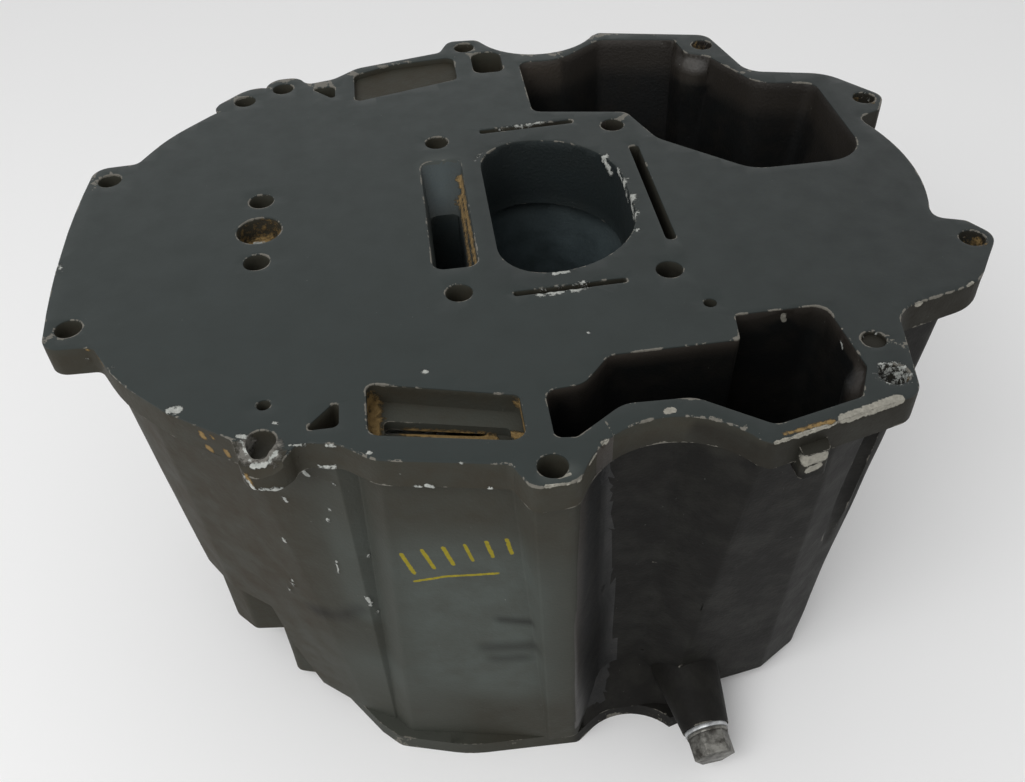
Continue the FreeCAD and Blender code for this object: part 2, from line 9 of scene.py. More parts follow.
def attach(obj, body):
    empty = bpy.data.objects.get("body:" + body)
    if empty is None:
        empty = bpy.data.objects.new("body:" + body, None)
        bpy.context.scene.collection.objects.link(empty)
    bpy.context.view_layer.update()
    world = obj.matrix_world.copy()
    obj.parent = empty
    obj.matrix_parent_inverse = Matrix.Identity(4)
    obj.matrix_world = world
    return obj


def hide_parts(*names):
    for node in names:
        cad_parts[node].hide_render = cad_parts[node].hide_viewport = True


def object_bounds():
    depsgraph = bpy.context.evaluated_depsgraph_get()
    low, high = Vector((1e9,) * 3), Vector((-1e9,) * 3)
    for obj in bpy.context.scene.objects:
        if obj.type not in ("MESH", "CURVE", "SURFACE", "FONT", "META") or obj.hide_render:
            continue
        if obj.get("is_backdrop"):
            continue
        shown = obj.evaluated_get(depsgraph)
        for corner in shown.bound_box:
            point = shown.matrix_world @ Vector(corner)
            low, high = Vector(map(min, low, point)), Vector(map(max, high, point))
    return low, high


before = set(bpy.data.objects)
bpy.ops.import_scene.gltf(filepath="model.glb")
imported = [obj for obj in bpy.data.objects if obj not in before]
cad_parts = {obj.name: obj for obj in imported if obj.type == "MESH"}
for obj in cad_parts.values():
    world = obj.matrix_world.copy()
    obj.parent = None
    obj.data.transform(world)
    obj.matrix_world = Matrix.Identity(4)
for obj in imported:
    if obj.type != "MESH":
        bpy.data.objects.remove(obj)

cad_low, cad_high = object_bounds()

# The casting: one aluminium pan, poured in a sand mould, with its deck milled flat and its
# holes drilled. The sand leaves the walls a little uneven, and years of use have rounded the
# deck's edges, chipped them and let salt water grow crusts on them.
MM = 0.001
ROUNDING = 0.45 * MM
SHARP_TURN = math.radians(32)
DECK_TURN = math.radians(38)
OUTWARD_TURN = math.radians(20)
GRID_STEP = 8 * MM
GRID_START = 0.37 * MM
MARK_STEP = 1.4 * MM
STAIN_STEP = 2 * MM
SMUDGE_STEP = 3 * MM
UNEVENNESS = 0.3 * MM
WAVE_WIDTH = 24 * MM
LUMP_WIDTH = 2.6 * MM
CRUST_HEIGHT = 0.8 * MM
PIT_DEPTH = 0.5 * MM
CHIP_DEPTH = 1.3 * MM
BROKEN_DEPTH = 0.9 * MM
EDGE_REACH_MM = 8.0
REAR_BOLT_X = 104.8
REAR_BOLT_Y = 129
BULGE_RADIUS = 15.5 * MM
BULGE_MOST = 7 * MM

# Marks of use, listed in millimetres: the two ends of a stroke, its half width and its strength.
# First the white crusts of aluminium salts
white_crust = [
    ((-42, 60, 0), (-39, 57, -1), 2.6, 1.0),
    ((-37.5, -57, 0), (-38.5, -60, -1), 1.6, 0.8),
    ((-19, 62, 0), (-13, 63, 0), 1.5, 0.85),
    ((-11, 63, -1), (2, 64.5, 0), 2.2, 0.95),
    ((3, 65, 0), (9, 65.5, 0), 1.6, 0.8),
    ((-10, -63, -1), (-3, -62.5, 0), 2.9, 1.1),
    ((3, -62.5, -1), (6.5, -61, 0), 2.9, 1.1),
    ((22, -61, 0), (22, -61, 0), 1.5, 0.9),
    ((-4, -51.8, 0), (2.5, -51.2, 0), 1.1, 1.1),
    ((33, 30, -1), (35, 25, -6), 2.4, 1.0),
    ((36, 20, 0), (37.5, 14, -2), 1.8, 0.9),
    ((38, 9, -1), (38.5, 1, -4), 2.4, 1.0),
    ((38.5, -4, 0), (38, -12, -5), 2.6, 1.0),
    ((37.5, -16, -1), (36.5, -24, -7), 2.6, 0.95),
    ((35, -29, 0), (34, -33, -4), 1.8, 0.85),
    ((20, 50.5, -2), (27, 43, -3), 1.5, 0.7),
    ((-12, 51.5, -1), (-6, 52.5, -3), 1.4, 0.7),
    ((-26, 38, 0), (-22, 44, 0), 1.2, 0.6),
    ((3.5, -88.8, 0), (3.5, -88.8, 0), 1.0, 1.0),
    ((-59, -99.9, 0), (-57.5, -100.5, 0), 1.2, 0.9),
    ((-148.0, -104.6, 0), (-146.0, -104.9, 0), 2.1, 1.3),
    ((-203, -12, 0), (-204, -9, -1), 1.5, 0.9),
    ((104.8, -129, -1), (104.8, -129, -6), 5.6, 1.35),
    ((102, -123.5, 0), (102.6, -124.2, -1), 1.2, 0.9),
    ((101.2, -113, -1), (102, -107.5, -1), 1.1, 0.8),
    ((107, -107, -1), (108, -110, -1), 1.0, 0.8),
    ((106, 131, -1), (103, 128, -5), 3.0, 0.9),
    ((168, 60, -1), (165, 57, -5), 3.2, 1.0),
    ((166, -56, -3), (164, -59, -8), 3.0, 0.6),
    ((-20, 155, -2), (-18, 150, -6), 2.8, 0.7),
    ((-124, -121.2, 0), (-121.5, -122, 0), 1.1, 1.2),
    ((-122.5, -123.8, -1), (-120, -129.5, -4), 1.0, 1.1),
    ((-119.8, -131.6, -5), (-114.7, -132.6, -4), 1.1, 1.15),
    ((-114, -132.3, -3), (-110.2, -129.5, -1), 1.0, 1.1),
    ((-112, -116.8, 0), (-110, -117.5, 0), 0.9, 0.9),
    ((-105.8, -128.4, 0), (-101, -128.8, -1), 0.8, 1.1),
    ((-99.5, -128.9, 0), (-97.8, -129.1, -1), 0.7, 1.0),
    ((-94, -130, -1), (-91.5, -130.6, -1), 0.9, 1.1),
    ((-122.5, -132, -8), (-120, -135, -12), 1.1, 1.0),
    ((-117.5, -135.5, -12.2), (-111, -136, -12.8), 1.1, 1.0),
    ((-98, -128.9, -12.4), (-93, -129.9, -12.0), 1.4, 1.0),
    ((-106.2, -120.6, -22.5), (-104.6, -121.2, -23.5), 1.4, 1.0),
    ((-95.8, -126, -24), (-94.8, -126.4, -24.6), 0.9, 0.9),
    ((-116.4, -113.7, -43.2), (-116.2, -113.9, -44.4), 1.3, 1.0),
    ((-123.1, -108.1, -74), (-122.9, -108.3, -75.5), 1.2, 1.0),
    ((-99.8, -122.8, -42), (-99.6, -122.9, -43), 0.9, 1.0),
    ((-101.2, -121.6, -49), (-101, -121.8, -50), 0.9, 1.0),
    ((-102.5, -119.4, -78), (-103, -118.7, -87), 0.7, 1.0),
    ((-126, -103, -109), (-126.6, -102.4, -113), 1.5, 0.8),
    ((-128.6, -100.3, -118), (-129.2, -99.8, -121), 1.2, 0.8),
    ((-89.3, -123.2, -71.6), (-89.2, -123.3, -73), 0.9, 1.0),
    ((-93.6, -122.9, -100), (-92.6, -122.6, -107), 1.3, 0.85),
    ((-91, -121.3, -113), (-90.9, -121.4, -114.5), 0.9, 0.9),
    ((-62, -143.2, -12.2), (-60, -143.6, -12.5), 1.0, 1.2),
    ((-66, -142.3, -12.4), (-63.5, -142.9, -12.5), 0.8, 0.8),
    ((-50, -145.8, -0.5), (-49, -146, -0.5), 0.7, 0.9),
    ((-41, -147.6, -12.4), (-39.8, -147.9, -12.6), 0.8, 1.0),
    ((-80.2, -136.4, 0), (-79.2, -136.6, 0), 1.0, 1.1),
    ((-124.8, 2.5, -8.8), (-120, -4, -8.8), 2.6, 0.8),
    ((95.4, -105.5, -4), (95.6, -107, -6), 0.9, 1.0),
    ((-173, -78.6, -1), (-164, -87, -4), 1.6, 0.55),
    ((-186, -63.5, -5), (-185, -64.5, -6), 0.9, 0.8),
]

# Bare metal where an edge has been knocked off or a lug has broken away
bare_metal = [
    ((80, -147.2, 0), (101.5, -141.2, 0), 1.9, 1.5),
    ((54.4, -154, 0), (62, -152.5, 0), 0.9, 1.2),
    ((62, -152.5, 0), (76, -149, 0), 1.2, 1.3),
    ((122, -101.5, 0), (130, -93.5, -1), 1.4, 1.2),
    ((152, -87.5, 0), (154, -86, 0), 1.2, 1.1),
    ((-1.6, -144.6, -0.3), (-0.4, -144, -0.8), 1.2, 1.3),
    ((-7.6, -151.6, -2), (-4.8, -148.3, -1.5), 0.7, 1.3),
    ((-13, -159, -1), (-11.5, -158, -1.5), 0.7, 1.2),
    ((-23.5, -160.3, 0), (-16, -160.2, -0.6), 0.6, 1.2),
    ((-19, -157.4, 0), (-15, -156.4, 0), 0.6, 1.0),
    ((22.4, -134, 0), (24.4, -133.6, 0), 1.3, 1.2),
    ((65, -155.6, -9), (71.5, -154.8, -9), 2.3, 1.25),
    ((67, -155.6, -14), (70.5, -155.2, -13), 1.6, 1.1),
    ((78.4, -88.4, -3), (79.4, -88.4, -6), 0.9, 1.1),
    ((170, -40, 0), (173, -30, -1), 0.8, 0.9),
]

# The raw broken face of the shoulder lug, grey and grainy
broken_face = [
    ((-120, -126, -4), (-112, -128, -4), 4.6, 1.4),
]

# Ochre oxide and dried coolant
ochre_oxide = [
    ((-122.4, 0, -9), (-122.4, 0, -9), 10.5, 1.1),
    ((-32.4, -38, -4), (-33.2, 30, -4), 2.6, 1.0),
    ((-34, -38, -10), (-34.6, 20, -8), 2.8, 0.9),
    ((-68, -116.6, -13), (-37, -124.6, -13), 1.9, 1.25),
    ((-37, -126, -9), (-27.5, -128.5, -9), 1.7, 1.2),
    ((-70, -137, -1.5), (-30, -139.3, -1.5), 1.0, 0.8),
    ((-79, -104, -6), (-79, -124, -6), 3.4, 0.9),
    ((-78, -103, -9), (-78, -120, -9), 3.2, 1.0),
    ((-26.5, -119, -4), (-26.5, -136, -4), 3.2, 0.95),
    ((-137.6, -114.2, -4), (-137.4, -114.4, -5.5), 1.5, 1.3),
    ((-134.0, -116.9, -3), (-133.6, -117.2, -4), 1.0, 0.9),
    ((-137, -114.8, -10.8), (-136.3, -115.3, -11.4), 1.6, 1.35),
    ((-130, -119.7, -8.8), (-129.7, -119.9, -10.2), 1.4, 1.3),
    ((-121.8, -133.6, -7), (-120.6, -134.6, -11), 1.2, 1.0),
    ((106, 126, -3), (103, 132, -5), 4.6, 0.9),
    ((168, 55, -3), (164, 61, -5), 4.6, 0.8),
    ((168, -60, -3), (169, -56, -7), 5.0, 0.85),
    ((104.8, -135, -1.5), (109.6, -131, -1.5), 1.3, 0.9),
    ((98.2, -131, -1), (99.4, -125, -1), 0.9, 0.9),
    ((58, -150.8, 0), (76, -147.4, 0), 0.9, 1.0),
    ((-188, -60, -1), (-166, -86, -3), 0.8, 0.9),
    ((16, 66, -4), (34, 30, -9), 1.0, 0.35),
]

# Yellow paint-pen strokes from a store shelf, as (x, z) places on the near wall
pen_strokes = [
    ((-75.5, 0, -60), (-72, 0, -73), 0.8, 1.6),
    ((-67.5, 0, -57), (-64, 0, -69), 0.8, 1.5),
    ((-59.5, 0, -55), (-56.5, 0, -66), 0.8, 1.6),
    ((-51.5, 0, -53), (-49, 0, -63), 0.75, 1.4),
    ((-43.5, 0, -50.5), (-41.5, 0, -60), 0.8, 1.5),
    ((-36, 0, -48.5), (-34.5, 0, -57.5), 0.75, 1.5),
    ((-72.5, 0, -79), (-60, 0, -74.5), 0.7, 1.4),
    ((-60, 0, -74.5), (-40, 0, -71), 0.7, 1.4),
]

# Dark smudges, and the parting seam in the exhaust chamber
smudges = [
    ((-40, -139, -105), (-28.5, -141.2, -106), 2.6, 0.5),
    ((-47, -136.5, -128), (-28, -141, -125), 4.0, 0.4),
    ((-44, -136.5, -137), (-32, -139.5, -135), 3.5, 0.35),
    ((-119, -107.5, -127), (-113, -110, -125), 4.5, 0.5),
    ((-99, -122, -112), (-108, -113, -124), 4.0, 0.4),
    ((-131, -107.5, -27), (-124, -112.5, -30), 2.2, 0.8),
    ((16.6, 54, -37), (16.6, 54, -110), 0.8, 1.3),
    ((8, 64, 0), (20, 65, 0), 2.6, 0.5),
]

# Places worn or washed pale: the scoop, the shelf of the recess; and painted highlights, on the walls
# round the bolts and on the stub
worn_pale_and_highlights = [
    ((-42, 36, -3), (-42, 26, -7), 8.0, 0.6),
    ((-70, -111.5, -9), (-31, -121.5, -9), 5.0, 1.1),
    ((-88, -125.5, -14), (-91, -123.5, -60), 6.0, 0.5),
    ((96, -117, -8), (93, -119, -40), 5.0, 0.9),
    ((96, 118, -5), (95, 117, -14), 4.5, 1.1),
    ((-15, -155, -1), (-22, -156, -1), 3.0, 0.5),
]


def closeness(points, marks, margin=0.0):
    """How deep each point, or a ball of the margin round it, lies in the strongest mark."""
    best = np.zeros(len(points))
    for start, end, half_width, strength in marks:
        first = np.array(start) * MM
        along = np.array(end) * MM - first
        share = np.clip((points - first) @ along / max(along @ along, 1e-12), 0, 1)
        distance = np.linalg.norm(points - first - share[:, None] * along, axis=1)
        best = np.maximum(best, strength * (1 - (distance - margin) / (half_width * 1.6 * MM)))
    return best


def on_near_wall(points):
    """The points on the flat near wall, with their height off it left out."""
    flat = points * (1, 0, 1)
    flat[points[:, 1] > -125 * MM] = 1.0
    return flat


def merged_copy(node):
    """A mesh of a CAD node whose triangles are joined into whole faces."""
    copy = bmesh.new()
    copy.from_mesh(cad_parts[node].data)
    bmesh.ops.remove_doubles(copy, verts=copy.verts, dist=0.003 * MM)
    bmesh.ops.dissolve_limit(copy, angle_limit=math.radians(2), verts=copy.verts, edges=copy.edges)
    return copy


def round_edges(copy, edges, width, segments):
    """Rounds edges over and shades the surface smooth up to its sharp turns."""
    bmesh.ops.bevel(copy, geom=edges, offset=width, offset_type="OFFSET", segments=segments,
                    profile=0.5, affect="EDGES", clamp_overlap=False, material=-1)
    for edge in copy.edges:
        edge.smooth = not (edge.is_manifold and edge.calc_face_angle() > SHARP_TURN)
    for face in copy.faces:
        face.smooth = True


skin = merged_copy("oil_pan")
deck_rim = [e for e in skin.edges if e.is_manifold and e.calc_face_angle() > DECK_TURN
            and all(abs(v.co.z) < 0.01 * MM for v in e.verts)]
round_edges(skin, deck_rim, ROUNDING, segments=2)

# Points along the outward corners, from which the wear on the edges is measured
corner_points = []
for edge in skin.edges:
    if edge.is_manifold and edge.calc_face_angle_signed() > OUTWARD_TURN:
        a, b = (v.co.copy() for v in edge.verts)
        count = max(1, int((b - a).length / MM))
        corner_points += [a.lerp(b, n / count) for n in range(count + 1)]
corner_tree = kdtree.KDTree(len(corner_points))
for place, corner in enumerate(corner_points):
    corner_tree.insert(corner, place)
corner_tree.balance()

# A grid over the whole surface carries the unevenness, and finer cuts the marks, as fine as
# keeps the skin under 200,000 triangles
for axis in range(3):
    direction = Vector([1.0 if n == axis else 0.0 for n in range(3)])
    for n in range(1, int((cad_high[axis] - cad_low[axis]) / GRID_STEP) + 1):
        everything = skin.verts[:] + skin.edges[:] + skin.faces[:]
        bmesh.ops.bisect_plane(skin, geom=everything, plane_no=direction,
                               plane_co=direction * (cad_low[axis] + n * GRID_STEP + GRID_START))
bmesh.ops.triangulate(skin, faces=skin.faces)
for sweep in range(4):
    skin.verts.index_update()
    places = np.array([v.co for v in skin.verts])
    ends = np.array([(e.verts[0].index, e.verts[1].index) for e in skin.edges])
    middles = (places[ends[:, 0]] + places[ends[:, 1]]) / 2
    lengths = np.linalg.norm(places[ends[:, 0]] - places[ends[:, 1]], axis=1)
    marked = closeness(middles, white_crust + bare_metal, lengths / 2)
    marked = np.maximum(marked, closeness(on_near_wall(middles), pen_strokes, lengths / 2))
    stained = closeness(middles, broken_face + ochre_oxide, lengths / 2)
    coarse = closeness(middles, smudges + worn_pale_and_highlights, lengths / 2)
    chosen = (lengths > MARK_STEP) & (marked > 0.0) | (lengths > STAIN_STEP) & (stained > 0.0)
    chosen |= (lengths > SMUDGE_STEP) & (coarse > 0.0)
    bmesh.ops.subdivide_edges(skin, edges=[e for e, cut in zip(skin.edges, chosen) if cut], cuts=1)
    bmesh.ops.triangulate(skin, faces=skin.faces)

skin.normal_update()
places = np.array([v.co for v in skin.verts])
facing = np.array([v.normal for v in skin.verts])
salt = closeness(places, white_crust)
bare = closeness(places, bare_metal)
broken = closeness(places, broken_face)
ochre = closeness(places, ochre_oxide)
edge_mm = np.array([min(corner_tree.find(v.co)[2] / MM, EDGE_REACH_MM) for v in skin.verts])
broad = np.array([noise.noise(v.co / WAVE_WIDTH) for v in skin.verts])
lumps = np.array([noise.noise(v.co / LUMP_WIDTH) for v in skin.verts])

# The sand-cast skin waves a little, crusts stand proud below the deck and are pits in it,
# and chipped edges are broken back
cast = (places[:, 2] < -0.8 * MM) & (places[:, 2] > -220.5 * MM)
shift = np.where(cast, broad * UNEVENNESS, 0.0)
shift += np.where(cast, np.clip(salt, 0, 1) * (0.5 + lumps) * CRUST_HEIGHT, 0.0)
shift -= np.where(cast, 0.0, np.clip(salt - 0.2, 0, 1) * (0.5 + lumps) * PIT_DEPTH)
chipped = np.clip(bare - 0.15, 0, 1) * np.clip(1 - edge_mm / 4, 0, 1)
shift -= chipped * (0.7 + lumps) * CHIP_DEPTH
torn = np.clip(broken, 0, 1) * (0.4 + lumps) * BROKEN_DEPTH
shift -= np.where(places[:, 2] < -0.3 * MM, torn, 0.0)
places += facing * shift[:, None]

# Inside the wells the wall bends round the two rear bolts below the mouth
for inward in (1, -1):
    from_bolt = places[:, :2] - np.array((REAR_BOLT_X, -inward * REAR_BOLT_Y)) * MM
    away = np.linalg.norm(from_bolt, axis=1)
    in_well = (facing[:, 0] < -0.2) & (from_bolt[:, 0] < 0) & (inward * from_bolt[:, 1] > -9 * MM)
    in_well &= (places[:, 2] > -190 * MM) & (facing[:, 2] < 0.7) & (away > 5.6 * MM)
    depth = np.clip((-places[:, 2] / MM - 2.5) / 6, 0, 1)
    push = np.where(in_well, np.clip(BULGE_RADIUS - away, 0, BULGE_MOST) * depth, 0.0)
    places[:, :2] += from_bolt / away[:, None] * push[:, None]
places = np.clip(places, cad_low, cad_high)
for vertex, place in zip(skin.verts, places):
    vertex.co = place

# Hollows of the casting, each as a box in millimetres round its middle line
DECK, OUTSIDE, OIL_WELL, EXHAUST = range(4)
hollows = [
    ((-25, -57, -222), (44, 57, -0.5), EXHAUST),
    ((-52, -42, -222), (-31, 42, -0.5), EXHAUST),
    ((4, 4, -206), (151, 150, -0.5), OIL_WELL),
    ((-19, -148, -206), (99, -83, -0.5), OIL_WELL),
]
for face in skin.faces:
    middle = face.calc_center_median() / MM
    face.material_index = DECK if middle.z > -0.6 else OUTSIDE
    if face.material_index == DECK:
        continue
    for low, high, finish in hollows:
        heart = (Vector(low) + Vector(high)) / 2
        if all(a < c < b for a, c, b in zip(low, middle, high)) \
                and face.normal.to_2d().dot((heart - middle).to_2d()) > -0.2:
            face.material_index = finish
            break


def soft_box(points, low, high, soft):
    """One inside a box in millimetres, nought outside, with a soft edge between."""
    inside = np.minimum(points - np.array(low) * MM, np.array(high) * MM - points) / (soft * MM) + 0.5
    share = np.clip(inside, 0, 1).prod(axis=1)
    return share * share * (3 - 2 * share)


# Where grime and painted shade, brown oil film, and sun-faded enamel and painted light lie: boxes,
# softness and strength; the middle of y is the mirror line, and both sides have aged alike
# Grime and painted shade: the arch recess under the flange, the walls and flange edges on the right
# and at the tail, and the groove beside the round column are darkened as if in shadow; the top band
# of the exhaust throat is darker too
grime_and_shade_places = [
    ((-9, 60, -225), (185, 175, -13.3), 7, 1.0),
    ((118, -5, -225), (185, 175, -13.3), 10, 0.8),
    ((30, -5, -16), (185, 175, -0.7), 1.5, 0.6),
    ((-76, 60, -225), (-79, 140, -13.2), 6, 0.5),
    ((-30, -5, -34), (45, 60, -0.5), 5, 0.8),
]
brown_places = [
    ((-212, -5, -225), (-112, 140, -13.2), 30, 0.9),
    ((-212, -5, -225), (180, 170, -172), 40, 0.5),
    ((-212, -5, -15), (180, 170, -0.4), 1.5, 0.75),
    ((-212, -5, -50), (180, 170, -13.2), 30, 0.5),
]
# Partly painted light: a painted highlight down the round column beside the groove, and painted light
# in the exhaust chamber below the throat; the near wall is also paler in its middle and towards its
# foot
faded_and_lit_places = [
    ((-82, 110, -175), (-22, 165, -46), 28, 1.0),
    ((-103, 100, -120), (-86, 135, -24), 9, 0.6),
    ((-150, 60, -225), (-60, 160, -150), 30, 0.8),
    ((-30, -5, -222), (45, 60, -38), 4, 1.0),
]
# Painted shade: the deep near oil well is darkened almost to black
shaded_near_well_box = ((-18, -129, -225), (101, -84, -4), 6)
# Painted shade: the deck darkens towards the tail, away from the lamp
deck_shade = np.clip((places[:, 0] / MM + 10) / 160, 0, 1) * (places[:, 2] > -0.6 * MM)
sides = places * (1, 0, 1) + np.abs(places) * (0, 1, 0)
zones = {
    "grime_and_shade": [soft_box(sides, low, high, soft) * share for low, high, soft, share in grime_and_shade_places]
    + [np.clip(closeness(places, smudges) * 1.5, 0, 1), soft_box(places, *shaded_near_well_box),
       deck_shade * 0.6],
    "brown": [soft_box(sides, low, high, soft) * share for low, high, soft, share in brown_places],
    "faded_and_lit": [soft_box(sides, low, high, soft) * share for low, high, soft, share in faded_and_lit_places]
    + [np.clip(closeness(places, worn_pale_and_highlights) * 1.6, 0, 1)],
    "salt": [salt],
    "bare": [bare],
    "ochre": [ochre],
    "broken": [broken],
    "pen": [closeness(on_near_wall(places), pen_strokes)],
    "edge_mm": [edge_mm],
}
pan_mesh = bpy.data.meshes.new("pan_skin")
skin.to_mesh(pan_mesh)
skin.free()
for name, parts in zones.items():
    layer = pan_mesh.attributes.new(name, "FLOAT", "POINT")
    layer.data.foreach_set("value", np.maximum.reduce(parts))


def linear(hex_colour):
    """The linear colour of an sRGB hex value."""
    parts = [int(hex_colour[n:n + 2], 16) / 255 for n in (1, 3, 5)]
    return [c / 12.92 if c <= 0.04045 else ((c + 0.055) / 1.055) ** 2.4 for c in parts] + [1.0]


def add_node(tree, kind, settings=None, values=None, links=None):
    """Adds a node, with its settings, the values of its sockets and what links to them."""
    made = tree.nodes.new(kind)
    for name, setting in (settings or {}).items():
        setattr(made, name, setting)
    for socket, value in (values or {}).items():
        made.inputs[socket].default_value = value
    for socket, source in (links or {}).items():
        tree.links.new(source, made.inputs[socket])
    return made


def new_material(name):
    """An empty node material with its coordinates, shader and output."""
    material = bpy.data.materials.new(name)
    material.use_nodes = True
    tree = material.node_tree
    tree.nodes.clear()
    place = add_node(tree, "ShaderNodeTexCoord").outputs["Object"]
    shader = add_node(tree, "ShaderNodeBsdfPrincipled")
    add_node(tree, "ShaderNodeOutputMaterial", links={"Surface": shader.outputs["BSDF"]})
    return material, tree, place, shader


def aged_enamel(name, paint, shade, grime_and_shade, brown, pale, grain, roughness, sheen, wear_mm):
    """Slate enamel on cast aluminium: satin paint that fades, browns with oil film and collects
    grime, with painted light laid in with the fading and painted shade with the grime, worn to metal
    along edges, with salt crusts, oxide and pen marks on top."""
    material, tree, place, shader = new_material(name)
    shader.inputs["Specular IOR Level"].default_value = sheen

    # six noises, each as wide in millimetres as what it draws: clouds of tone, blotches of dirt,
    # ragged outlines, fine specks, the wandering of wear along an edge, and the moulding sand,
    # which is drawn about twice as coarse as the real grit so that it shows
    noises = []
    for width_mm, detail, rough in ((38, 4.0, 0.6), (13, 6.0, 0.65), (2.4, 6.0, 0.75),
                                    (1.5, 4.0, 0.6), (12, 8.0, 0.7), (1.3, 3.0, 0.5)):
        noises.append(add_node(tree, "ShaderNodeTexNoise", links={"Vector": place}, values={
            "Scale": 1 / (width_mm * MM), "Detail": detail, "Roughness": rough}).outputs["Fac"])
    cloud, blotch, ragged, fine, wander, sand = noises

    # the enamel's own tone, then faded places with painted light, browned places, and grimy places
    # with painted shade, uneven at their edges
    surface = add_node(tree, "ShaderNodeMix", {"data_type": "RGBA"},
                       {6: linear(paint), 7: linear(shade)}, {0: cloud}).outputs[2]
    for zone, colour, least, most in (("faded_and_lit", pale, 0.4, 1.15), ("brown", brown, 0.25, 1.0),
                                      ("grime_and_shade", grime_and_shade, 0.8, 1.1)):
        amount = add_node(tree, "ShaderNodeAttribute", {"attribute_name": zone}).outputs["Fac"]
        uneven = add_node(tree, "ShaderNodeMapRange", links={"Value": blotch}, values={
            "From Min": 0.3, "From Max": 0.7, "To Min": least, "To Max": most}).outputs[0]
        share = add_node(tree, "ShaderNodeMath", {"operation": "MULTIPLY", "use_clamp": True},
                         links={0: amount, 1: uneven}).outputs[0]
        surface = add_node(tree, "ShaderNodeMix", {"data_type": "RGBA"}, {7: linear(colour)},
                           {0: share, 6: surface}).outputs[2]

    # marks whose outline the ragged noise breaks up
    masks = {}
    for mark, low, high, spread in (("bare", 0.36, 0.46, 1.3), ("broken", 0.3, 0.6, 1.6),
                                    ("ochre", 0.38, 0.68, 1.8), ("salt", 0.5, 0.64, 2.4),
                                    ("pen", 0.45, 0.7, 1.0)):
        spot = add_node(tree, "ShaderNodeAttribute", {"attribute_name": mark}).outputs["Fac"]
        offset = add_node(tree, "ShaderNodeMath", {"operation": "MULTIPLY_ADD"},
                          {1: spread, 2: -spread / 2}, {0: ragged}).outputs[0]
        total = add_node(tree, "ShaderNodeMath", {"operation": "ADD"}, links={0: spot, 1: offset})
        cut = add_node(tree, "ShaderNodeMapRange", values={"From Min": low, "From Max": high},
                       links={"Value": total.outputs[0]}).outputs[0]
        present = add_node(tree, "ShaderNodeMath", {"operation": "GREATER_THAN"}, {1: 0.02},
                           {0: spot}).outputs[0]
        masks[mark] = add_node(tree, "ShaderNodeMath", {"operation": "MULTIPLY"},
                               links={0: cut, 1: present}).outputs[0]

    # wear along the outward edges: here and there, a fraction of a millimetre wide
    edge = add_node(tree, "ShaderNodeAttribute", {"attribute_name": "edge_mm"}).outputs["Fac"]
    reach = add_node(tree, "ShaderNodeMapRange", links={"Value": wander}, values={
        "From Min": 0.5, "From Max": 0.68, "To Min": 0.0, "To Max": wear_mm}).outputs[0]
    worn = add_node(tree, "ShaderNodeMath", {"operation": "LESS_THAN"},
                    links={0: edge, 1: reach}).outputs[0]
    # dust and salt specks, a fraction of a millimetre across
    specks = add_node(tree, "ShaderNodeMapRange", links={"Value": fine}, values={
        "From Min": 0.735, "From Max": 0.76}).outputs[0]

    for mask, dark, light, by in ((specks, "#50534f", "#8b8d88", ragged),
                                  (worn, "#4a4842", "#75726a", fine),
                                  (masks["broken"], "#3b3a37", "#8a8780", ragged),
                                  (masks["bare"], "#5f5d56", "#aaa79c", fine),
                                  (masks["ochre"], "#463622", "#a58a5a", ragged),
                                  (masks["salt"], "#6c726f", "#cfd0ca", fine),
                                  (masks["pen"], "#5e5a18", "#9c8c1e", ragged)):
        colour = add_node(tree, "ShaderNodeMix", {"data_type": "RGBA"},
                          {6: linear(dark), 7: linear(light)}, {0: by}).outputs[2]
        surface = add_node(tree, "ShaderNodeMix", {"data_type": "RGBA"},
                           links={0: mask, 6: surface, 7: colour}).outputs[2]
    tree.links.new(surface, shader.inputs["Base Color"])

    crusted = add_node(tree, "ShaderNodeMath", {"operation": "MAXIMUM"},
                       links={0: masks["salt"], 1: masks["ochre"]}).outputs[0]
    dull = add_node(tree, "ShaderNodeMix", values={2: roughness, 3: 0.88},
                    links={0: crusted}).outputs[0]
    satin = add_node(tree, "ShaderNodeMath", {"operation": "MULTIPLY_ADD"}, {1: 0.3, 2: -0.15},
                     {0: blotch}).outputs[0]
    gloss = add_node(tree, "ShaderNodeMath", {"operation": "ADD"}, links={0: dull, 1: satin})
    tree.links.new(gloss.outputs[0], shader.inputs["Roughness"])
    metal = add_node(tree, "ShaderNodeMath", {"operation": "MULTIPLY"}, {1: 0.45}, {0: masks["bare"]})
    tree.links.new(metal.outputs[0], shader.inputs["Metallic"])

    grit = add_node(tree, "ShaderNodeBump", values={"Strength": grain, "Distance": 0.35 * MM},
                    links={"Height": sand}).outputs[0]
    rough_marks = add_node(tree, "ShaderNodeMath", {"operation": "MAXIMUM"},
                           links={0: crusted, 1: masks["broken"]}).outputs[0]
    crust_height = add_node(tree, "ShaderNodeMath", {"operation": "MULTIPLY"},
                            links={0: rough_marks, 1: ragged}).outputs[0]
    crust = add_node(tree, "ShaderNodeBump", values={"Strength": 0.9, "Distance": 1.1 * MM},
                     links={"Height": crust_height, "Normal": grit}).outputs[0]
    step = add_node(tree, "ShaderNodeBump", {"invert": True}, {"Strength": 0.5, "Distance": 0.2 * MM},
                    {"Height": masks["bare"], "Normal": crust}).outputs[0]
    tree.links.new(step, shader.inputs["Normal"])
    return material


# Deck: milled flat before painting, so the enamel lies smooth and even, with a satin sheen; painted
# shade darkens it towards the tail
pan_mesh.materials.append(aged_enamel(
    "slate_enamel_on_milled_face", paint="#232a29", shade="#2b3130",
    grime_and_shade="#171b1b", brown="#2b2822", pale="#4a4f4c",
    grain=0.08, roughness=0.52, sheen=0.22, wear_mm=0.6))
